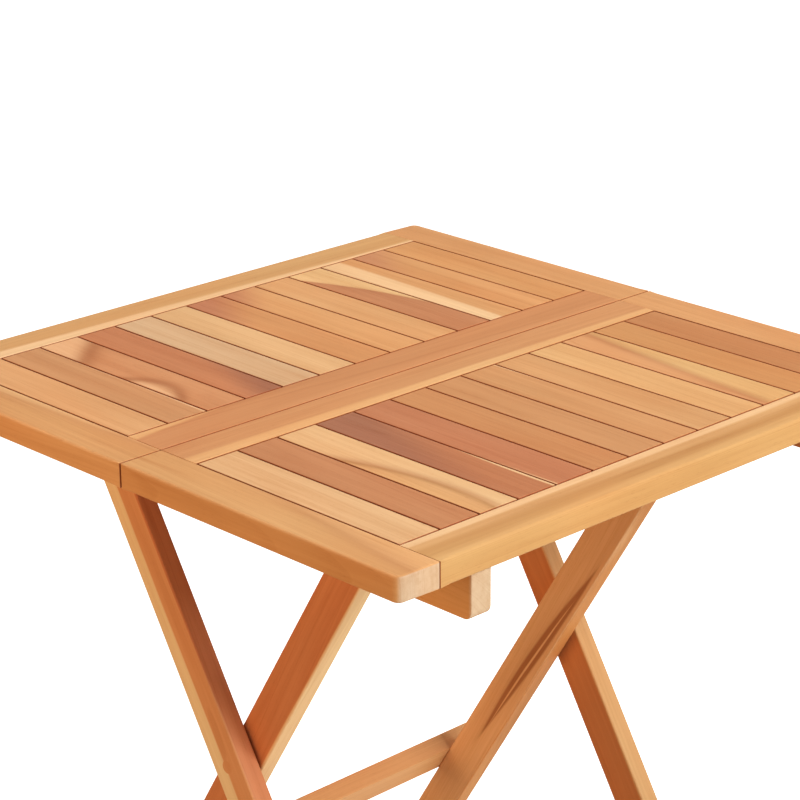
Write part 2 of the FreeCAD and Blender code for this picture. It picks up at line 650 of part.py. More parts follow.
def make_hinges():
    """Two butt hinges under the seam, one on each pair of battens: front leaves with two
    knuckles, rear leaves with the middle knuckle, and pins."""
    middle_y = (BATTEN_OUTER + BATTEN_INNER) / 2
    width, centre = size("hinge_leaf_width"), size("hinge_middle_knuckle")
    knuckle = "(@hinge_leaf_width - @hinge_middle_knuckle) / 2 - @hinge_knuckle_gap"
    front, rear, pins = [], [], []
    for side in (LEFT, RIGHT):
        low_y = side * middle_y - width / 2
        spans = {"front": ((low_y, knuckle),
                           (low_y + (width + centre) / 2 + size("hinge_knuckle_gap"), knuckle)),
                 "rear": ((low_y + (width - centre) / 2, "@hinge_middle_knuckle"),)}
        for half, leaves in (("front", front), ("rear", rear)):
            out = 1 if half == "front" else -1
            inner_x = size("hinge_leaf_start") if out == 1 else -size("hinge_leaf_end")
            plate = doc.addObject("Part::Box", "Leaf")
            plate.setExpression("Length", cell("@hinge_leaf_end - @hinge_leaf_start"))
            plate.setExpression("Width", cell("@hinge_leaf_width"))
            plate.setExpression("Height", cell("@hinge_leaf_thick"))
            plate.Placement = Placement(
                Vector(inner_x, low_y, BATTEN_BOTTOM - size("hinge_leaf_thick")), Rotation())
            pieces = [plate]
            for start, length in spans[half]:
                tab = doc.addObject("Part::Box", "Tab")
                tab.setExpression("Length", cell("@hinge_leaf_start"))
                tab.setExpression("Width", cell(length))
                tab.setExpression("Height", cell("@hinge_tab_thick"))
                tab_x = 0 if out == 1 else -size("hinge_leaf_start")
                tab.Placement = Placement(
                    Vector(tab_x, start, BATTEN_BOTTOM - size("hinge_leaf_thick")), Rotation())
                pieces.append(tab)
                pieces.append(primitive("Cylinder", Vector(0, start, HINGE_HEIGHT), Y_AXIS,
                                        Radius="@knuckle_radius", Height=length))
            tools = [primitive("Cylinder", Vector(0, low_y, HINGE_HEIGHT), Y_AXIS,
                               Radius="@hinge_pin_radius + @running_play",
                               Height="@hinge_leaf_width")]
            for place in HINGE_SCREWS:
                where = Vector(out * size(place), side * middle_y,
                               BATTEN_BOTTOM - size("hinge_leaf_thick"))
                tools.append(primitive("Cone", where, Z_AXIS, Radius1="@screw_head_radius",
                                       Radius2="@screw_radius", Height="@hinge_leaf_thick"))
            leaves.append(cut(fused(*pieces), fused(*tools)))
        rod = primitive("Cylinder", Vector(0, low_y, HINGE_HEIGHT), Y_AXIS,
                        Radius="@hinge_pin_radius", Height="@hinge_leaf_width")
        heads = [primitive("Ellipsoid", Vector(0, edge, HINGE_HEIGHT), Y_AXIS * way,
                           Radius1="@hinge_pin_head", Radius2="@hinge_pin_head_radius",
                           Angle1="0", Angle2="90")
                 for edge, way in ((low_y, -1), (low_y + width, 1))]
        pins.append(fused(rod, *heads))
    group("front_hinge_leaves", front)
    group("rear_hinge_leaves", rear)
    group("hinge_pins", pins)


def make_screw():
    """The wood screw that all the joints share: point along +Z, head face at the origin."""
    origin = Vector(0, 0, 0)
    shank = size("screw_length") - size("screw_tip_length")
    head = primitive("Cone", origin, Z_AXIS, Radius1="@screw_head_radius",
                     Radius2="@screw_radius", Height="@screw_head_height")
    body = primitive("Cylinder", origin, Z_AXIS, Radius="@screw_radius",
                     Height="@screw_length - @screw_tip_length")
    tip = primitive("Cone", Vector(0, 0, shank), Z_AXIS, Radius1="@screw_radius",
                    Radius2="@screw_radius / 8", Height="@screw_tip_length")
    slot = doc.addObject("Part::Box", "Slot")
    slot.setExpression("Length", cell("2.4 * @screw_head_radius"))
    slot.setExpression("Width", cell("@screw_radius / 2"))
    slot.setExpression("Height", cell("@screw_head_height / 2"))
    slot.Placement = Placement(
        Vector(-1.2 * size("screw_head_radius"), -size("screw_radius") / 4, 0), Rotation())
    return cut(fused(head, body, tip), slot)


def make_screw_group(label, screw, placements):
    """Copies of the one screw, kept as separate solids: only a plain shape can hold them."""
    item = doc.addObject("Part::Feature", label)
    item.Label = label
    copies = []
    for placement in placements:
        copy = screw.Shape.copy()
        copy.Placement = placement
        copies.append(copy)
    item.Shape = Part.makeCompound(copies)
    subparts.append(item)


def make_screws():
    screw = make_screw()
    doc.recompute()
    middle_y = (BATTEN_OUTER + BATTEN_INNER) / 2
    for half, out in (("front", 1), ("rear", -1)):
        placements = []
        for side in (LEFT, RIGHT):
            for names, level in ((BATTEN_SCREWS, size("screw_sink") - size("screw_head_height")),
                                 (HINGE_SCREWS, -size("hinge_leaf_thick"))):
                for name in names:
                    where = Vector(out * size(name), side * middle_y, BATTEN_BOTTOM + level)
                    placements.append(Placement(where, Rotation()))
        make_screw_group(f"{half}_half_screws", screw, placements)
    across = -size("leg_width") / 2 - size("leg_thick")
    edge = size("stretcher_screw_edge")
    for pair in ("inner", "outer"):
        placements = []
        for side in (LEFT, RIGHT):
            for down in (edge, size("stretcher_depth") - edge):
                where = leg_point(across, size("stretcher_below_cross") + down)
                where.y = side * LEG_MIDDLE_Y[pair]
                local = Placement(where, Rotation(Y_AXIS, LEAN + 90))
                placements.append(turned_about_z(local, 0 if pair == "inner" else 180))
        make_screw_group(f"{pair}_stretcher_screws", screw, placements)


# ---------------------------------------------------------------- the whole table

for half in HALF_TURN:
    for number in range(1, int(size("slat_count")) + 1):
        make_slat(half, number)
    for which in ("seam", "outer"):
        make_long_rail(half, which)
    for side in (LEFT, RIGHT):
        make_end_rail(half, side)
        make_batten(half, side)
for pair in ("inner", "outer"):
    for side in (LEFT, RIGHT):
        make_leg(pair, side)
    make_stretcher(pair)
for half in HALF_TURN:
    make_pivots(half)
make_crossings()
make_hinges()
make_screws()
doc.recompute()

for item in doc.Objects:
    if "Invalid" in item.State or "Error" in item.State:
        raise RuntimeError(f"{item.Name} ({item.Label}) is {item.State}")
labels = [item.Label for item in subparts]
if len(set(labels)) != len(labels) or len(labels) > 60:
    raise RuntimeError(f"{len(labels)} sub-parts, {len(set(labels))} names")
os.makedirs("parts", exist_ok=True)
for item in subparts:
    shape = item.Shape
    if shape.isNull() or not shape.isValid() or not shape.Solids:
        raise RuntimeError(f"{item.Label}: the shape is not valid")
    shape.exportStep(os.path.join("parts", f"{item.Label}.step"))
    box = shape.BoundBox
    print(f"{item.Label:26s} {len(shape.Solids)} solid(s) {shape.Volume / 1000:9.2f} cm3"
          f"  x {box.XMin:7.1f} {box.XMax:7.1f}  y {box.YMin:7.1f} {box.YMax:7.1f}"
          f"  z {box.ZMin:7.1f} {box.ZMax:7.1f}")
print(len(labels), "sub-parts, lean", round(LEAN, 2), "pivot to crossing", round(PIVOT_TO_CROSS, 1))
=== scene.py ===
"""The looks of a folding teak garden table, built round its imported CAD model.

The slats and rails of the two half tops are made here as boards with eased edges. The battens,
legs, stretchers and metal parts are the CAD's own. Every board has a grain of its own.
"""

import json
import math

import bmesh
import bpy
import numpy as np
from mathutils import Matrix, Vector


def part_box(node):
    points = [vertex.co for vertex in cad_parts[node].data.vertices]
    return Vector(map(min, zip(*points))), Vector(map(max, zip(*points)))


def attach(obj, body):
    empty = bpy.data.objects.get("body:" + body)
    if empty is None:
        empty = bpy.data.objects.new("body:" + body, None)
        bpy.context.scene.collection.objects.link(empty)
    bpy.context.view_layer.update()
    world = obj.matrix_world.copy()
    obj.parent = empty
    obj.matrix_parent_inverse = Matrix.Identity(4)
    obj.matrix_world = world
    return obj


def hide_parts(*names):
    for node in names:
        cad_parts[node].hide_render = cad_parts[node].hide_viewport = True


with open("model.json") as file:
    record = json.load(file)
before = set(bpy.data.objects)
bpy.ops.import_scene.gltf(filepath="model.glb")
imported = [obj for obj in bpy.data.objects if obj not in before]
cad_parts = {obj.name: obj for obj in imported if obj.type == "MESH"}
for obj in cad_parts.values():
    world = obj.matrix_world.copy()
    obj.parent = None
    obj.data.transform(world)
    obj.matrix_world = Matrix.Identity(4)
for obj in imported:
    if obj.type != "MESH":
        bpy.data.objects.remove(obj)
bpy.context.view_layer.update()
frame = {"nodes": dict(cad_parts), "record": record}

# Board shapes in metres: eased edges, corners rounded in plan, gaps, and the slats' crown.
SLAT_EASE = 0.0012
RAIL_EASE = 0.003
JOINT_EASE = 0.001
TABLE_CORNER = 0.009
SEAM_CORNER = 0.001
JOINT_CORNER = 0.0004
JOINT_GAP = 0.0003
SLAT_END_GAP = 0.0018
SLAT_CROWN = 0.0002
CROWN_SHARES = (0.4, 1.0)

# Points along a long side, round a corner and over an eased edge. The rows of a face lie at
# these shares of the way from its edge to its middle line. The long sides' points keep clear
# of the corners, and one more row lies a little under each eased edge.
SIDE_POINTS = 25
CORNER_POINTS = 7
EDGE_POINTS = 5
FACE_ROWS = (1.0, 0.6, 0.25, 0.05)
CORNER_CLEARANCE = 0.014
UNDER_EDGE = 0.0008
MERGE_DISTANCE = 1e-6

# The legs lean, and their wood is laid out about the middle of their own axes.
LEG_LEAN = math.radians(31.2)
LEG_HALF_WIDTH = 0.024
LEG_HALF_LENGTH = 0.42

# Finished tones as the eye sees them, each from 0 to 1 in red, green and blue.
PALE_SAP = (0.96, 0.85, 0.66)
SAPWOOD = (0.95, 0.77, 0.57)
CREAM = (0.93, 0.72, 0.53)
STRAW = (0.91, 0.69, 0.46)
GOLDEN = (0.89, 0.65, 0.43)
HONEY = (0.87, 0.62, 0.41)
ROSE = (0.82, 0.56, 0.39)
RUSSET = (0.77, 0.49, 0.34)
BROWN = (0.72, 0.46, 0.28)
UMBER = (0.66, 0.42, 0.30)
LEG_HONEY = (0.88, 0.63, 0.43)
LEG_AMBER = (0.95, 0.74, 0.53)
END_GRAIN = (0.88, 0.78, 0.67)
# Painted shade: a dark red-brown for the boards' sides in the joints, where the gaps lie in
# shadow.
JOINT_SHADE = (0.60, 0.25, 0.05)
BRASS_TONE = (0.86, 0.69, 0.38)
STEEL_TONE = (0.74, 0.74, 0.73)

# Layers of a board's figure: waves in a metre along the grain and across it, then detail.
DRIFT = (3.0, 11.0, 2.0)
FINE_DRIFT = (9.0, 60.0, 2.0)
WARMTH = (5.0, 16.0, 1.0)
CLOUD = (6.0, 20.0, 1.0)
BROAD_STREAK = (2.5, 50.0, 2.0)
FLECK = (9.0, 110.0, 2.0)
FINE_STREAK = (5.0, 240.0, 3.0)
FIBRE = (22.0, 900.0, 2.0)
SPECK = (150.0, 2200.0, 1.0)

# Growth rings. The slant is the pith's metres across in each metre along. The fine shake is in
# metres. Unevenness shifts a ring by some years; its noise and the years' noise each have a
# scale and a detail. Late wood darkens, then stops, within a year.
PITH_SLANT = 0.05
PITH_DISTANCE = (0.06, 0.12)
RING_GAPS = (0.0035, 0.006)
PLAIN_WANDER = 0.004
FIGURED_WANDER = 0.012
FINE_SHAKE = 0.0006
UNEVENNESS = 2.4
UNEVEN_NOISE = (0.55, 1.0)
YEAR_NOISE = (0.73, 2.0)
LATE_WOOD = (0.25, 0.90)
LATE_WOOD_STOP = (0.93, 1.0)
STRONG_YEARS = (0.3, 0.75)
MEAN_LATE_WOOD = 0.35

# How much each layer darkens the wood, and the noise levels at which flecks and pores show.
RING_DEPTH = 0.54
STREAK_DEPTH = 0.65
FINE_STREAK_SHARE = 0.7
FLECK_SHARE = 0.9
FLECK_LEVELS = (0.1, 0.7)
FIBRE_DEPTH = 0.26
CLOUD_DEPTH = 0.45
PORE_DEPTH = 0.55
PORE_LEVELS = (0.38, 0.62)
LATE_WOOD_PORES = 0.18
PORE_RELIEF = -1.2
DARKENING = (-0.14, -0.24, -0.34)
WARMING = (0.03, -0.05, -0.10)
FIGURE_SHIFT = 4.0

# Tints: how rough their curve is, and how wide the line beside it is in terms of its softness.
CURVE_ROUGHNESS = 0.12
LINE_WIDTH = 1.5

# Pale end grain, and painted shade on the boards' sides in the joints, standing for the shadow in
# the gaps between boards. A mask rises between two depths under the board's side, and between
# two under its top face.
END_MASK = (0.0045, 0.0005)
END_BELOW_TOP = (0.0004, 0.0016)
END_SHARE = 0.7
JOINT_SHADE_MASK = (0.0011, 0.0003)
JOINT_SHADE_BELOW_TOP = (0.0001, 0.0006)
JOINT_SHADE_SHARE = 0.85

# How oiled teak and worn metal catch the light.
TEAK_ROUGHNESS = 0.5
TEAK_POLISH = -0.07
TEAK_SPECULAR = 0.3
TEAK_BUMP = 0.35
TEAK_BUMP_HEIGHT = 0.0003
BRUSHING = (1500.0, 120.0, 2.0)
TARNISH = (60.0, 60.0, 4.0)
TARNISH_LEVELS = (-0.2, 0.6)
TARNISH_ROUGHNESS = 0.22
TARNISH_TONE = 0.72
METAL_BUMP = 0.2
METAL_BUMP_HEIGHT = 0.0001


# ---------------------------------------------------------------- shader helpers

def linear(tone):
    """A tone as a linear colour with its alpha, which is what a shader socket holds."""
    low = [c / 12.92 if c <= 0.04045 else ((c + 0.055) / 1.055) ** 2.4 for c in tone]
    return (*low, 1.0)


def new_material(name):
    """An empty node material, and its tree."""
    material = bpy.data.materials.new(name)
    material.use_nodes = True
    material.node_tree.nodes.clear()
    return material, material.node_tree


def add(tree, kind, inputs=None, **settings):
    """A shader node of that kind. An input is a plain value, or a socket to link from."""
    node = tree.nodes.new("ShaderNode" + kind)
    for name, value in settings.items():
        setattr(node, name, value)
    for key, value in (inputs or {}).items():
        if isinstance(value, bpy.types.NodeSocket):
            tree.links.new(value, node.inputs[key])
        else:
            node.inputs[key].default_value = value
    return node


def maths(tree, operation, *values):
    """The result of a Math node."""
    return add(tree, "Math", dict(enumerate(values)), operation=operation).outputs[0]


def vector(tree, operation, *values):
    """The vector result of a Vector Math node, or its number for a dot product."""
    node = add(tree, "VectorMath", dict(enumerate(values)), operation=operation)
    return node.outputs["Value" if operation == "DOT_PRODUCT" else "Vector"]


def smooth_step(tree, value, low, high):
    """0 below low, 1 above high, and an eased ramp between them. Low may be the larger."""
    limits = {"Value": value, "From Min": low, "From Max": high}
    return add(tree, "MapRange", limits, interpolation_type="SMOOTHSTEP").outputs[0]


def noise(tree, place, along, across, detail):
    """Noise from -1 to 1, with that many waves in a metre along the grain and across it."""
    stretched = vector(tree, "MULTIPLY", place, (along, across, across))
    inputs = {"Vector": stretched, "Scale": 1.0, "Detail": detail}
    return maths(tree, "MULTIPLY_ADD", add(tree, "TexNoise", inputs).outputs[0], 2.0, -1.0)


def noise_of(tree, value, scale, detail):
    """Noise from 0 to 1 that varies with one number."""
    inputs = {"W": value, "Scale": scale, "Detail": detail}
    return add(tree, "TexNoise", inputs, noise_dimensions="1D").outputs[0]


def blend_colour(tree, share, first, second):
    """The first colour where share is 0 and the second where it is 1."""
    return add(tree, "Mix", {0: share, 6: first, 7: second}, data_type="RGBA").outputs[2]


def new_group(name, inputs, outputs):
    """An empty shader group with those sockets, and its input and output nodes."""
    group = bpy.data.node_groups.new(name, "ShaderNodeTree")
    for label, kind, default in inputs:
        socket = group.interface.new_socket(
            label, in_out="INPUT", socket_type="NodeSocket" + kind
        )
        socket.default_value = default
    for label, kind in outputs:
        group.interface.new_socket(label, in_out="OUTPUT", socket_type="NodeSocket" + kind)
    given = group.nodes.new("NodeGroupInput").outputs
    result = group.nodes.new("NodeGroupOutput").inputs
    return group, given, result


def grain_group():
    """Sawn teak in a board's own coordinates: X runs along the grain, Y across and Z through it.

    Growth rings are circles round a pith line that lies off the board and wanders along it, some
    of them close together or faint.
    Depth sums ring lines, long streaks, flecks, fibres, clouds and pores, and darkens the tone:
    red least and blue most, as oiled wood does. Relief is raised fibre with sunken pores.
    """
    group, given, result = new_group(
        "teak_grain",
        [
            ("Place", "Vector", (0, 0, 0)),
            ("Pith", "Vector", (0, 0, 0)),
            ("Ring gap", "Float", RING_GAPS[1]),
            ("Wander", "Float", PLAIN_WANDER),
        ],
        [("Depth", "Float"), ("Warmth", "Float"), ("Relief", "Float"), ("Drift", "Float")],
    )
    place = given["Place"]
    drift = noise(group, place, *DRIFT)
    from_pith = vector(group, "SUBTRACT", place, given["Pith"])
    x, y, z = add(group, "SeparateXYZ", {0: from_pith}).outputs
    slanted = maths(group, "MULTIPLY_ADD", x, PITH_SLANT, y)
    squares = maths(
        group, "ADD", maths(group, "POWER", slanted, 2.0), maths(group, "POWER", z, 2.0)
    )
    shaken = maths(group, "MULTIPLY_ADD", drift, given["Wander"], maths(group, "SQRT", squares))
    fine_drift = noise(group, place, *FINE_DRIFT)
    shaken = maths(group, "MULTIPLY_ADD", fine_drift, FINE_SHAKE, shaken)
    even = maths(group, "DIVIDE", shaken, given["Ring gap"])
    uneven = noise_of(group, even, *UNEVEN_NOISE)
    rings = maths(group, "MULTIPLY_ADD", uneven, UNEVENNESS, even)
    in_year = maths(group, "FRACT", rings)
    until_stop = maths(group, "SUBTRACT", 1.0, smooth_step(group, in_year, *LATE_WOOD_STOP))
    late = maths(group, "MULTIPLY", smooth_step(group, in_year, *LATE_WOOD), until_stop)
    year = noise_of(group, maths(group, "FLOOR", rings), *YEAR_NOISE)
    strong_year = smooth_step(group, year, *STRONG_YEARS)
    ring = maths(group, "SUBTRACT", late, MEAN_LATE_WOOD)
    ring = maths(group, "MULTIPLY", ring, maths(group, "MULTIPLY", strong_year, RING_DEPTH))

    broad = noise(group, place, *BROAD_STREAK)
    fine = noise(group, place, *FINE_STREAK)
    fleck = smooth_step(group, noise(group, place, *FLECK), *FLECK_LEVELS)
    streak = maths(group, "MULTIPLY_ADD", fine, FINE_STREAK_SHARE, broad)
    streak = maths(group, "MULTIPLY_ADD", fleck, FLECK_SHARE, streak)
    fibre = noise(group, place, *FIBRE)
    cloud = noise(group, place, *CLOUD)
    speck = maths(group, "MULTIPLY_ADD", late, LATE_WOOD_PORES, noise(group, place, *SPECK))
    pore = smooth_step(group, speck, *PORE_LEVELS)
    depth = ring
    for level, share in (
        (streak, STREAK_DEPTH), (fibre, FIBRE_DEPTH), (cloud, CLOUD_DEPTH), (pore, PORE_DEPTH),
    ):
        depth = maths(group, "MULTIPLY_ADD", level, share, depth)
    relief = maths(group, "MULTIPLY_ADD", pore, PORE_RELIEF, fibre)
    group.links.new(depth, result["Depth"])
    group.links.new(noise(group, place, *WARMTH), result["Warmth"])
    group.links.new(relief, result["Relief"])
    group.links.new(drift, result["Drift"])
    return group


def tint_group():
    """Two shades of one board parted by a curve.

    Span is the place on the board with its ends at -1 and 1 along X and its sides at -1 and 1
    along Y. The curve is Y = a + bX + cX^2, roughened by Drift. The tint lies on the curve's
    upper side, or under it when Side is -1. Line is the share of brown in a line on the curve.
    """
    group, given, result = new_group(
        "heart_and_sap",
        [
            ("Colour", "Color", (1, 1, 1, 1)),
            ("Tint", "Color", (1, 1, 1, 1)),
            ("Span", "Vector", (0, 0, 0)),
            ("Drift", "Float", 0.0),
            ("Curve", "Vector", (0, 0, 0)),
            ("Side", "Float", 1.0),
            ("Softness", "Float", 0.1),
            ("Line", "Float", 0.0),
        ],
        [("Colour", "Color")],
    )
    x, y, _ = add(group, "SeparateXYZ", {0: given["Span"]}).outputs
    a, b, c = add(group, "SeparateXYZ", {0: given["Curve"]}).outputs
    slope = maths(group, "MULTIPLY_ADD", c, x, b)
    curve = maths(group, "MULTIPLY_ADD", slope, x, a)
    above = maths(group, "SUBTRACT", y, curve)
    above = maths(group, "MULTIPLY_ADD", given["Drift"], CURVE_ROUGHNESS, above)
    above = maths(group, "MULTIPLY", above, given["Side"])
    soft_end = maths(group, "MULTIPLY", given["Softness"], 0.5)
    soft_start = maths(group, "MULTIPLY", soft_end, -1.0)
    share = smooth_step(group, above, soft_start, soft_end)
    tinted = blend_colour(group, share, given["Colour"], given["Tint"])
    line_width = maths(group, "MULTIPLY", given["Softness"], LINE_WIDTH)
    off_line = maths(group, "DIVIDE", above, line_width)
    fall = maths(group, "MULTIPLY", maths(group, "POWER", off_line, 2.0), -1.0)
    lined = maths(group, "MULTIPLY", maths(group, "EXPONENT", fall), given["Line"])
    group.links.new(blend_colour(group, lined, tinted, linear(BROWN)), result["Colour"])
    return group


GRAIN = grain_group()
TINT = tint_group()


def near_sides(tree, parts, sides, limits, mask):
    """1 close to the named sides of a board ("-X", "X", "-Y" or "Y") and 0 away from them.

    Parts are the place in the board's own frame, and limits half its length and half its width.
    The share rises between the mask's two depths under a side.
    """
    share = 0.0
    for side in sides:
        axis = "XY".index(side[-1])
        outward = maths(tree, "MULTIPLY", parts[axis], -1.0 if side[0] == "-" else 1.0)
        depths = [limits[axis] - depth for depth in mask]
        share = maths(tree, "MAXIMUM", share, smooth_step(tree, outward, *depths))
    return share


def teak(
    name, low, high, along, across, tone, seed, tints=(), reach=None, wander=PLAIN_WANDER,
    sawn=("-X", "X"), joints=(),
):
    """Oiled teak for one board between low and high, whose grain runs along and across those ways.

    A tint is (colour, (a, b, c), side, softness, line), as the heart_and_sap group takes them.
    Reach is half the board's length and half its width, for a board that leans. Sawn names the
    ends that show pale end grain, and joints the sides that meet another board: painted shade
    darkens their edges below the top face, standing for the shadow in the gaps. Depths under the
    top face are taken from the box's height, so on a leg, whose own Z is level, end grain covers
    the whole of its ends.
    """
    material, tree = new_material(name)
    random = np.random.default_rng(seed)
    along, across = Vector(along).normalized(), Vector(across).normalized()
    turn = Matrix((along, across, along.cross(across))).transposed()
    half = (Vector(high) - Vector(low)) / 2
    reach = reach or [sum(abs(half[i] * way[i]) for i in range(3)) for way in (along, across)]
    own = add(tree, "Mapping", {
        "Vector": add(tree, "TexCoord").outputs["Object"],
        "Location": (Vector(high) + Vector(low)) / 2,
        "Rotation": turn.to_euler(),
    }, vector_type="TEXTURE").outputs[0]
    shift = Vector(random.uniform(-FIGURE_SHIFT, FIGURE_SHIFT, 3))
    angle = random.uniform(0.0, math.tau)
    offset = random.uniform(*PITH_DISTANCE)
    grain = add(tree, "Group", {
        "Place": vector(tree, "ADD", own, shift),
        "Pith": shift + offset * Vector((0.0, math.cos(angle), math.sin(angle))),
        "Ring gap": random.uniform(*RING_GAPS),
        "Wander": wander,
    }, node_tree=GRAIN).outputs
    span = vector(tree, "DIVIDE", own, (reach[0], reach[1], 1.0))
    parts = add(tree, "SeparateXYZ", {0: own}).outputs
    colour = linear(tone)
    for tint, curve, side, softness, line in tints:
        colour = add(tree, "Group", {
            "Colour": colour,
            "Tint": linear(tint),
            "Span": span,
            "Drift": grain["Drift"],
            "Curve": curve,
            "Side": side,
            "Softness": softness,
            "Line": line,
        }, node_tree=TINT).outputs["Colour"]
    if sawn:
        depths = [half.z - depth for depth in END_BELOW_TOP]
        under_edge = smooth_step(tree, maths(tree, "ABSOLUTE", parts[2]), *depths)
        at_end = near_sides(tree, parts, sawn, reach, END_MASK)
        share = maths(tree, "MULTIPLY", at_end, under_edge)
        share = maths(tree, "MULTIPLY", share, END_SHARE)
        colour = blend_colour(tree, share, colour, linear(END_GRAIN))
    darkened = vector(tree, "MULTIPLY_ADD", grain["Depth"], DARKENING, (1.0, 1.0, 1.0))
    factor = vector(tree, "MULTIPLY_ADD", grain["Warmth"], WARMING, darkened)
    if not isinstance(colour, bpy.types.NodeSocket):
        colour = colour[:3]
    colour = vector(tree, "MULTIPLY", colour, factor)
    # Painted shade: the sides that meet another board darken below the top face, standing for the
    # shadow in the gaps.
    if joints:
        depths = [half.z - depth for depth in JOINT_SHADE_BELOW_TOP]
        under_edge = smooth_step(tree, parts[2], *depths)
        shade_at_joint = near_sides(tree, parts, joints, reach, JOINT_SHADE_MASK)
        share = maths(tree, "MULTIPLY", shade_at_joint, under_edge)
        share = maths(tree, "MULTIPLY", share, JOINT_SHADE_SHARE)
        colour = blend_colour(tree, share, colour, linear(JOINT_SHADE))
    bump = {"Strength": TEAK_BUMP, "Distance": TEAK_BUMP_HEIGHT, "Height": grain["Relief"]}
    shader = add(tree, "BsdfPrincipled", {
        "Base Color": colour,
        "Roughness": maths(tree, "MULTIPLY_ADD", grain["Relief"], TEAK_POLISH, TEAK_ROUGHNESS),
        "Normal": add(tree, "Bump", bump).outputs[0],
        "Specular IOR Level": TEAK_SPECULAR,
    })
    add(tree, "OutputMaterial", {"Surface": shader.outputs[0]})
    return material


def metal(name, tone, roughness, scratch):
    """Brushed and slightly tarnished metal: fine scratches one way, and cloudy dull patches."""
    material, tree = new_material(name)
    place = add(tree, "TexCoord").outputs["Object"]
    brushed = noise(tree, place, *BRUSHING)
    tarnish = smooth_step(tree, noise(tree, place, *TARNISH), *TARNISH_LEVELS)
    dull = [TARNISH_TONE * c for c in tone]
    rough = maths(tree, "MULTIPLY_ADD", tarnish, TARNISH_ROUGHNESS, roughness)
    bump = {"Strength": METAL_BUMP, "Distance": METAL_BUMP_HEIGHT, "Height": brushed}
    shader = add(tree, "BsdfPrincipled", {
        "Base Color": blend_colour(tree, tarnish, linear(tone), linear(dull)),
        "Metallic": 1.0,
        "Roughness": maths(tree, "MULTIPLY_ADD", brushed, scratch, rough),
        "Normal": add(tree, "Bump", bump).outputs[0],
    })
    add(tree, "OutputMaterial", {"Surface": shader.outputs[0]})
    return material


# ---------------------------------------------------------------- boards

def plan_outline(length, width, corners, ease, joint_ease):
    """Points round a board's plan, anticlockwise from its low end's near side.

    Each of the four corners is a quarter circle and the long sides are split at the same
    places. The near side's edges are eased by ease and the others by joint_ease. Returns
    points, outward normals and the ease at each point.
    """
    arc = np.linspace(0.0, 1.0, CORNER_POINTS)
    inner = np.linspace(-1.0, 1.0, SIDE_POINTS) * (length / 2 - CORNER_CLEARANCE)
    half_length, half_width = length / 2, width / 2
    sides = [(-1, -1), (1, -1), (1, 1), (-1, 1)]
    points, normals, eases = [], [], []
    for index, ((side_x, side_y), radius) in enumerate(zip(sides, corners)):
        angle = math.pi + (index + arc) * math.pi / 2
        normal = np.stack([np.cos(angle), np.sin(angle)], 1)
        centre = np.array([side_x * (half_length - radius), side_y * (half_width - radius)])
        side_ease = ease if side_y < 0 else joint_ease
        points.append(centre + radius * normal)
        normals.append(normal)
        eases.append(np.full(CORNER_POINTS, min(radius, side_ease)))
        if index in (0, 2):
            run = inner if index == 0 else inner[::-1]
            points.append(np.stack([run, np.full(SIDE_POINTS, side_y * half_width)], 1))
            normals.append(np.tile([0.0, side_y], (SIDE_POINTS, 1)))
            eases.append(np.full(SIDE_POINTS, side_ease))
    return np.concatenate(points), np.concatenate(normals), np.concatenate(eases)


def board_surface(length, width, thickness, corners, ease, joint_ease, crown):
    """A board as an upright profile carried round its plan outline.

    The profile starts on the board's middle line, runs out along the crowned face, turns down
    a quarter circle of the ease, and mirrors that below. The faces rise by the crown towards
    the middle line. Returns vertices and quads; the vertices that fall together on the middle
    line are merged when it is built.
    """
    points, normals, eases = plan_outline(length, width, corners, ease, joint_ease)
    spine = np.zeros_like(points)
    spine_end = (length - width) / 2
    spine[:, 0] = np.clip(points[:, 0], -spine_end, spine_end)
    edge = points - normals * eases[:, None]
    half_height = thickness / 2
    rows = []
    for share in FACE_ROWS:
        rise = crown * share * (2.0 - share)
        rows.append((edge + share * (spine - edge), np.full_like(eases, half_height + rise)))
    for angle in np.linspace(math.pi / 2, 0.0, EDGE_POINTS):
        inset = eases * (1.0 - math.cos(angle))
        drop = eases * (1.0 - math.sin(angle))
        rows.append((points - normals * inset[:, None], half_height - drop))
    rows.append((points, half_height - eases - UNDER_EDGE))
    rows += [(plan, -height) for plan, height in reversed(rows)]
    plan = np.array([row[0] for row in rows])
    height = np.array([row[1] for row in rows])
    vertices = np.concatenate([plan, height[..., None]], 2)
    grid = np.arange(height.size).reshape(height.shape)
    ahead = np.roll(grid, -1, 1)
    quads = np.stack([grid[:-1], grid[1:], ahead[1:], ahead[:-1]], 2)
    return vertices.reshape(-1, 3), quads.reshape(-1, 4)


# The turn of a board's plan, as a matrix, that points its length each way.
TURNS = {
    "X": ((1, 0), (0, 1)),
    "Y": ((0, -1), (1, 0)),
    "-X": ((-1, 0), (0, -1)),
    "-Y": ((0, 1), (-1, 0)),
}


def board(name, body, low, high, along, corners, ease, joint_ease, crown, material):
    """One wooden board between low and high that takes the place of a CAD node.

    Its length runs along X, Y, -X or -Y, its near side lies to the right of that way, and it
    rides on body.
    """
    size, centre = high - low, (high + low) / 2
    length, width = (size.x, size.y) if along[-1] == "X" else (size.y, size.x)
    vertices, quads = board_surface(length, width, size.z, corners, ease, joint_ease, crown)
    vertices[:, :2] = vertices[:, :2] @ np.array(TURNS[along], float).T
    mesh = bpy.data.meshes.new("board_" + name)
    mesh.from_pydata((vertices + np.array(centre)).tolist(), [], quads.tolist())
    shell = bmesh.new()
    shell.from_mesh(mesh)
    bmesh.ops.remove_doubles(shell, verts=shell.verts, dist=MERGE_DISTANCE)
    shell.to_mesh(mesh)
    shell.free()
    mesh.shade_smooth()
    mesh.materials.append(material)
    piece = bpy.data.objects.new("board_" + name, mesh)
    bpy.context.scene.collection.objects.link(piece)
    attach(piece, body)
    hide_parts(name)


# ---------------------------------------------------------------- the wood of each board

X_WAY, Y_WAY, MINUS_X_WAY = (1, 0, 0), (0, 1, 0), (-1, 0, 0)

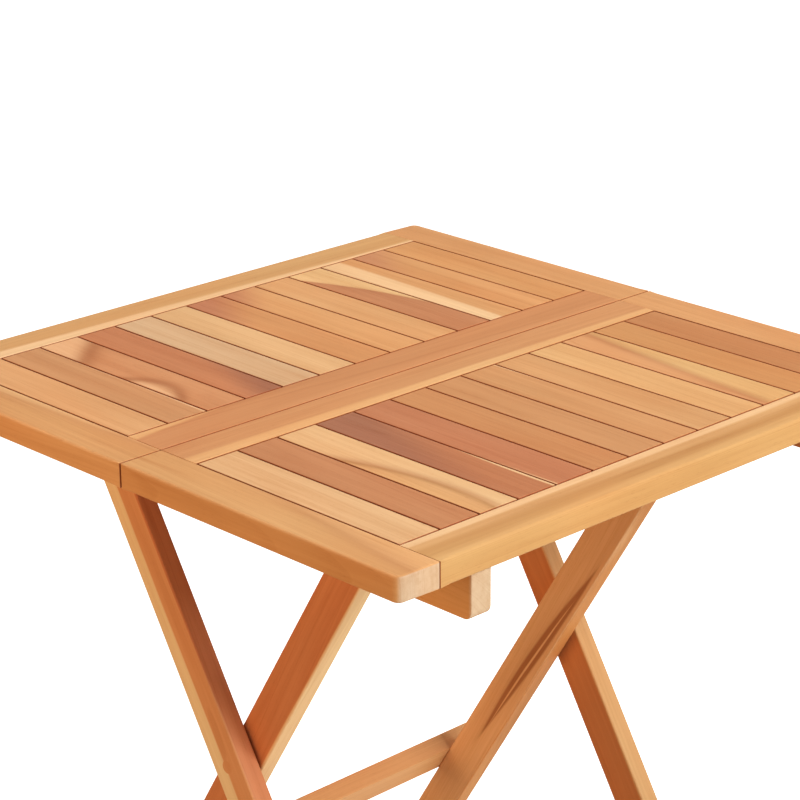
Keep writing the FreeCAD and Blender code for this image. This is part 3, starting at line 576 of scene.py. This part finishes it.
# Slats from the near side to the far side: slot, tone, and tints as teak takes them.
FRONT_SLATS = [
    ("teak_cream", (0.90, 0.71, 0.51), []),
    ("teak_rose", (0.78, 0.52, 0.34), []),
    ("teak_figured", (0.91, 0.72, 0.51), [
        ((0.80, 0.60, 0.37), (-0.3, 1.3, -1.15), -1, 0.2, 0.4),
        ((0.90, 0.68, 0.45), (-0.55, 1.3, -1.15), -1, 0.3, 0.2),
    ]),
    ("teak_russet", (0.76, 0.48, 0.31), [
        (UMBER, (0.0, -2.2, 0.0), -1, 3.0, 0.0),
        (SAPWOOD, (1.0, -0.5, 0.3), 1, 0.1, 0.0),
    ]),
    ("teak_rose", (0.77, 0.49, 0.33), [(SAPWOOD, (-1.02, 0.1, 0.0), -1, 0.08, 0.0)]),
    ("teak_honey", (0.81, 0.555, 0.35), []),
    ("teak_honey", (0.81, 0.575, 0.375), []),
    ("teak_honey", (0.83, 0.59, 0.38), [(SAPWOOD, (1.05, 0.15, 0.0), 1, 0.12, 0.0)]),
    ("teak_golden", (0.85, 0.625, 0.41), []),
    ("teak_golden", (0.895, 0.68, 0.45), []),
    ("teak_figured", (0.895, 0.695, 0.455), [(HONEY, (-0.15, -0.66, 0.1), -1, 0.2, 0.5)]),
    ("teak_honey", (0.83, 0.58, 0.355), []),
    ("teak_russet", (0.79, 0.53, 0.33), []),
]
REAR_SLATS = [
    ("teak_honey", (0.885, 0.655, 0.44), []),
    ("teak_rose", (0.81, 0.57, 0.375), [(CREAM, (0.92, -0.05, 0.0), 1, 0.15, 0.0)]),
    ("teak_figured", (0.83, 0.565, 0.375), [
        (CREAM, (-3.9, -6.3, 0.0), -1, 0.5, 0.9),
        (CREAM, (-1.23, 5.55, -7.5), -1, 0.25, 0.9),
    ]),
    ("teak_russet", (0.80, 0.51, 0.335), [(UMBER, (1.6, -2.0, 0.0), 1, 2.0, 0.0)]),
    ("teak_cream", (0.855, 0.69, 0.52), []),
    ("teak_golden", (0.895, 0.70, 0.49), []),
    ("teak_rose", (0.85, 0.585, 0.365), [(RUSSET, (-2.6, -4.0, 0.0), -1, 3.0, 0.0)]),
    ("teak_honey", (0.88, 0.64, 0.415), [(RUSSET, (-3.6, -4.0, 0.0), -1, 3.0, 0.0)]),
    ("teak_golden", (0.885, 0.65, 0.43), []),
    ("teak_figured", (0.94, 0.745, 0.515), [
        ((0.78, 0.515, 0.34), (0.64, 1.3, -0.74), -1, 0.15, 0.2),
    ]),
    ("teak_rose", (0.87, 0.63, 0.405), [(SAPWOOD, (0.0, -0.24, 0.0), -1, 0.25, 0.0)]),
    ("teak_honey", (0.87, 0.62, 0.395), [(ROSE, (-3.0, -4.0, 0.0), -1, 3.0, 0.0)]),
    ("teak_honey", (0.865, 0.62, 0.39), []),
]

# The rails of each half: slot, tone and tints.
FRONT_RAILS = {
    "seam_rail": ("teak_rose", (0.83, 0.58, 0.375), [(STRAW, (-0.45, -0.1, 0.0), -1, 0.25, 0.0)]),
    "outer_rail": ("teak_golden", (0.87, 0.66, 0.415), [
        ((0.81, 0.59, 0.35), (-0.5, 0.15, 0.1), 1, 0.5, 0.0),
        ((0.87, 0.66, 0.43), (0.1, 0.0, 0.1), 1, 0.4, 0.1),
        (SAPWOOD, (0.6, 0.0, 0.0), 1, 0.2, 0.0),
    ]),
    "end_rail_left": ("teak_honey", (0.86, 0.635, 0.405), [
        (STRAW, (0.94, -1.14, 0.0), 1, 0.3, 0.3),
    ]),
    "end_rail_right": ("teak_honey", (0.87, 0.62, 0.40), []),
}
REAR_RAILS = {
    "seam_rail": ("teak_rose", (0.815, 0.55, 0.35), [(STRAW, (1.83, 1.375, 0.0), 1, 0.25, 0.0)]),
    "outer_rail": ("teak_golden", (0.85, 0.64, 0.41), [
        (SAPWOOD, (-0.55, -0.3, 0.0), -1, 0.3, 0.0),
    ]),
    "end_rail_left": ("teak_honey", (0.85, 0.61, 0.38), [
        (STRAW, (0.65, 0.3, 0.0), 1, 0.2, 0.3),
        (STRAW, (-0.93, 0.0, 0.0), -1, 0.06, 0.0),
    ]),
    "end_rail_right": ("teak_honey", (0.865, 0.62, 0.40), []),
}

# Seeds: a slat's is its number and its half's, its crown's lies further on, and a rail's is
# the sum of its name's letters.
SLAT_SEEDS = {"front": 100, "rear": 200}
CROWN_SEED = 1000
LEG_SEED = 300
BATTEN_SEED = 320
STRETCHER_SEED = 340
PLUG_SEED = 350


def make_slats(half, body, woods):
    """The slats of one half top, each with a slight crown of its own. Their tongues are hidden."""
    rails = (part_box(half + "_seam_rail"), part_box(half + "_outer_rail"))
    near_rail, far_rail = sorted(rails, key=lambda box: box[0].x)
    for number, (slot, tone, tints) in enumerate(woods, 1):
        name = f"{half}_slat_{number:02d}"
        low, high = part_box(name)
        low.x, high.x = near_rail[1].x + SLAT_END_GAP, far_rail[0].x - SLAT_END_GAP
        seed = number + SLAT_SEEDS[half]
        wood = teak(
            "wood_" + name, low, high, X_WAY, Y_WAY, tone, seed, tints,
            wander=FIGURED_WANDER if slot == "teak_figured" else PLAIN_WANDER,
            sawn=(), joints=("-X", "X", "-Y", "Y"),
        )
        random = np.random.default_rng(seed + CROWN_SEED)
        crown = SLAT_CROWN * random.uniform(*CROWN_SHARES)
        low.z += crown
        high.z -= crown
        board(name, body, low, high, "X", [SLAT_EASE] * 4, SLAT_EASE, SLAT_EASE, crown, wood)


def make_long_rail(half, body, part, wood):
    """A rail along the seam or along the table's outer edge, between the half's end rails."""
    slot, tone, tints = wood
    name = f"{half}_{part}"
    low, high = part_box(name)
    low.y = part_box(half + "_end_rail_left")[1].y + JOINT_GAP
    high.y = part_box(half + "_end_rail_right")[0].y - JOINT_GAP
    outer = part == "outer_rail"
    along = "Y" if outer == (half == "front") else "-Y"
    material = teak(
        "wood_" + name, low, high, Y_WAY, MINUS_X_WAY, tone, sum(map(ord, name)), tints,
        sawn=(), joints=("-X", "X", along) if outer else ("-Y", "Y"),
    )
    ease = RAIL_EASE if outer else SLAT_EASE
    corners = [JOINT_CORNER] * 4
    board(name, body, low, high, along, corners, ease, JOINT_EASE, 0.0, material)


def make_end_rail(half, body, part, wood):
    """A rail along the table's side, from the seam to the outer corner."""
    slot, tone, tints = wood
    name = f"{half}_{part}"
    low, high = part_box(name)
    front, left = half == "front", part == "end_rail_left"
    outer_end, seam_end = ("X", "-X") if front else ("-X", "X")
    material = teak(
        "wood_" + name, low, high, X_WAY, Y_WAY, tone, sum(map(ord, name)), tints,
        sawn=(outer_end,), joints=(seam_end, "Y" if left else "-Y"),
    )
    near_corners = [SEAM_CORNER, TABLE_CORNER] if front == left else [TABLE_CORNER, SEAM_CORNER]
    corners = near_corners + [JOINT_EASE] * 2
    along = "X" if left else "-X"
    board(name, body, low, high, along, corners, RAIL_EASE, JOINT_EASE, 0.0, material)


make_slats("front", "front_half", FRONT_SLATS)
make_slats("rear", "rear_half", REAR_SLATS)
for half, rails in (("front", FRONT_RAILS), ("rear", REAR_RAILS)):
    for part, wood in rails.items():
        make_rail = make_end_rail if part.startswith("end") else make_long_rail
        make_rail(half, half + "_half", part, wood)


# ---------------------------------------------------------------- CAD parts that stay

def dress(node, material):
    """Gives a CAD node one material in place of its own."""
    mesh = frame["nodes"][node].data
    mesh.materials.clear()
    mesh.materials.append(material)


LEAN_X, LEAN_Z = math.sin(LEG_LEAN), math.cos(LEG_LEAN)
INNER_WAY, INNER_SIDE = (LEAN_X, 0, LEAN_Z), (LEAN_Z, 0, -LEAN_X)
OUTER_WAY, OUTER_SIDE = (-LEAN_X, 0, LEAN_Z), (LEAN_Z, 0, LEAN_X)

# Each leg's swing joint, ways along and across it, tone and tints. Across points at +X.
LEGS = {
    "outer_leg_left": ("outer_leg_swing", OUTER_WAY, OUTER_SIDE, LEG_HONEY, [
        (PALE_SAP, (-0.15, 0.0, 0.0), -1, 0.15, 0.0),
        # Painted shade: a darker tint on the leg's narrow face at +X, which faces up under the
        # table top, standing for the top's shadow.
        ((0.84, 0.52, 0.33), (0.94, 0.0, 0.0), 1, 0.05, 0.0),
    ]),
    "inner_leg_left": ("inner_leg_swing", INNER_WAY, INNER_SIDE, (0.84, 0.54, 0.35), [
        # Painted light: a pale tint on the leg's narrow face at +X, which faces down to the right,
        # standing for light from below on the right.
        ((0.96, 0.78, 0.57), (0.9, 0.0, 0.0), 1, 0.1, 0.0),
    ]),
    "inner_leg_right": ("inner_leg_swing", INNER_WAY, INNER_SIDE, LEG_AMBER, [
        (BROWN, (0.06, 1.1, 2.3), 1, 0.15, 0.2),
        (LEG_AMBER, (0.33, 0.98, 1.4), 1, 0.06, 0.0),
        (BROWN, (0.42, 0.69, 0.2), 1, 0.06, 0.0),
        (LEG_AMBER, (0.65, 0.54, -1.4), 1, 0.15, 0.0),
        ((0.87, 0.58, 0.33), (0.94, 0.0, 0.0), 1, 0.05, 0.0),
    ]),
    "outer_leg_right": ("outer_leg_swing", OUTER_WAY, OUTER_SIDE, (0.84, 0.54, 0.33), [
        # Painted light: a pale tint on the leg's narrow face at +X, standing for the light that
        # falls on it from the right.
        ((0.87, 0.67, 0.45), (0.9, 0.0, 0.0), 1, 0.1, 0.0),
    ]),
}
BATTENS = {
    "front_batten_left": (0.87, 0.66, 0.43),
    "front_batten_right": (0.85, 0.58, 0.38),
    "rear_batten_left": (0.86, 0.59, 0.39),
    "rear_batten_right": (0.84, 0.57, 0.37),
}
STRETCHERS = ("inner_stretcher", "outer_stretcher")


def leg_wood(node, swing, way, side, tone, tints, seed):
    """A leg's wood, laid out about the middle of the leg's own axis."""
    joints = {joint["name"]: joint for joint in frame["record"]["behaviour"]["joints"]}
    low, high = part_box(node)
    half_size = (high - low) / 2
    top_end = Vector(joints[swing]["pos_m"]) + LEG_HALF_WIDTH * Vector(way)
    middle = top_end - LEG_HALF_LENGTH * Vector(way)
    middle.y = (low.y + high.y) / 2
    return teak(
        "wood_" + node, middle - half_size, middle + half_size, way, side, tone, seed, tints,
        reach=(LEG_HALF_LENGTH, LEG_HALF_WIDTH),
    )


for seed, (node, wood) in enumerate(LEGS.items(), LEG_SEED):
    dress(node, leg_wood(node, *wood, seed))
for seed, (node, tone) in enumerate(BATTENS.items(), BATTEN_SEED):
    low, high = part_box(node)
    dress(node, teak("wood_" + node, low, high, X_WAY, Y_WAY, tone, seed))
for seed, node in enumerate(STRETCHERS, STRETCHER_SEED):
    low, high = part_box(node)
    dress(node, teak("wood_" + node, low, high, Y_WAY, MINUS_X_WAY, GOLDEN, seed))
low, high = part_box("crossing_plugs")
dress("crossing_plugs", teak(
    "wood_crossing_plugs", low, high, OUTER_WAY, OUTER_SIDE, LEG_HONEY, PLUG_SEED
))

METALS = {
    "brass": metal("brass", BRASS_TONE, roughness=0.32, scratch=0.05),
    "steel": metal("steel", STEEL_TONE, roughness=0.3, scratch=0.06),
}
for part in frame["record"]["subparts"]:
    if part["material_slot"] in METALS:
        dress(part["node"], METALS[part["material_slot"]])


# ---------------------------------------------------------------- studio and camera

SOFT_WHITE = (1.0, 0.975, 0.92)
LOW_AMBER = (1.0, 0.52, 0.19)
# Each square soft box: place, aim, size, watts and colour.
LIGHTS = {
    "key": ((4.6, 0.8, 3.5), (0, 0, 0.6), 2.4, 229, SOFT_WHITE),
    "overhead": ((-0.6, 0.3, 3.4), (0, 0, 0.7), 2.5, 39, SOFT_WHITE),
    "warm_fill": ((-1.0, -3.6, 0.95), (0, 0, 0.6), 2.5, 70, LOW_AMBER),
}
FLOOR_REACH = 30.0
FLOOR_COLOUR = (0.9, 0.9, 0.9, 1.0)
FLOOR_GLOW = (1.0, 1.0, 1.0, 1.0)
FLOOR_GLOW_STRENGTH = 0.8
FLOOR_ROUGHNESS = 0.9

# Linear colours of the surroundings, and where along Z, or along one way, they change.
SKY_GREY = (0.28, 0.28, 0.28, 1.0)
WARM_BELOW = (0.24, 0.13, 0.07, 1.0)
HORIZON = (-0.15, 0.15)
BRIGHT_PATCH = (1.55, 1.55, 1.35, 1.0)
BRIGHT_WAY = (0.5, 0.1, -0.86)
BRIGHT_EDGE = (0.5, 1.0)

CAMERA_PLACE = (2.013, -1.945, 1.732)
CAMERA_AZIMUTH = math.radians(46.16)
CAMERA_ELEVATION = math.radians(19.98)
CAMERA_ROLL = math.radians(-0.4)
CAMERA_LENS = 122.1
SENSOR_WIDTH = 36.0


def soft_light(name, place, aim, size, power, tone):
    """A square soft box at place, facing aim."""
    light = bpy.data.lights.new(name, "AREA")
    light.size = size
    light.energy = power
    light.color = tone
    lamp = bpy.data.objects.new(name, light)
    lamp.location = place
    lamp.rotation_mode = "QUATERNION"
    lamp.rotation_quaternion = (Vector(aim) - Vector(place)).to_track_quat("-Z", "Y")
    bpy.context.scene.collection.objects.link(lamp)


def make_floor():
    """A wide pale floor under the table, bright enough to read as white."""
    sides = ((-1, -1), (1, -1), (1, 1), (-1, 1))
    corners = [(x * FLOOR_REACH, y * FLOOR_REACH, 0) for x, y in sides]
    mesh = bpy.data.meshes.new("studio_floor")
    mesh.from_pydata(corners, [], [(0, 1, 2, 3)])
    material, tree = new_material("pale_floor")
    shader = add(tree, "BsdfPrincipled", {
        "Base Color": FLOOR_COLOUR,
        "Roughness": FLOOR_ROUGHNESS,
        "Specular IOR Level": 0.0,
        "Emission Color": FLOOR_GLOW,
        "Emission Strength": FLOOR_GLOW_STRENGTH,
    })
    add(tree, "OutputMaterial", {"Surface": shader.outputs[0]})
    mesh.materials.append(material)
    floor = bpy.data.objects.new("studio_floor", mesh)
    bpy.context.scene.collection.objects.link(floor)
    floor.visible_diffuse = False
    floor.visible_glossy = False


def make_world():
    """Pale light from above, a dim warm glow from below, and a bright patch below to the right."""
    world = bpy.data.worlds.new("studio")
    world.use_nodes = True
    tree = world.node_tree
    tree.nodes.clear()
    way = add(tree, "TexCoord").outputs["Generated"]
    up = smooth_step(tree, add(tree, "SeparateXYZ", {0: way}).outputs[2], *HORIZON)
    sky = blend_colour(tree, up, WARM_BELOW, SKY_GREY)
    bright = smooth_step(tree, vector(tree, "DOT_PRODUCT", way, BRIGHT_WAY), *BRIGHT_EDGE)
    sky = blend_colour(tree, bright, sky, BRIGHT_PATCH)
    background = add(tree, "Background", {"Color": sky, "Strength": 1.0})
    add(tree, "OutputWorld", {"Surface": background.outputs[0]})
    bpy.context.scene.world = world


def make_camera():
    """The camera looks across one corner of the table, from a little above it."""
    level_back = Vector((math.sin(CAMERA_AZIMUTH), -math.cos(CAMERA_AZIMUTH), 0.0))
    back = level_back * math.cos(CAMERA_ELEVATION)
    back.z = math.sin(CAMERA_ELEVATION)
    right = Vector((math.cos(CAMERA_AZIMUTH), math.sin(CAMERA_AZIMUTH), 0.0))
    up = back.cross(right)
    rolled_right = right * math.cos(CAMERA_ROLL) + up * math.sin(CAMERA_ROLL)
    rolled_up = up * math.cos(CAMERA_ROLL) - right * math.sin(CAMERA_ROLL)
    turn = Matrix((rolled_right, rolled_up, back)).transposed()
    data = bpy.data.cameras.new("camera")
    data.lens = CAMERA_LENS
    data.sensor_width = SENSOR_WIDTH
    camera = bpy.data.objects.new("camera", data)
    camera.matrix_world = Matrix.Translation(CAMERA_PLACE) @ turn.to_4x4()
    bpy.context.scene.collection.objects.link(camera)
    bpy.context.scene.camera = camera


make_camera()
make_world()
make_floor()
for name, settings in LIGHTS.items():
    soft_light(name, *settings)
bpy.context.scene.view_settings.view_transform = "Standard"
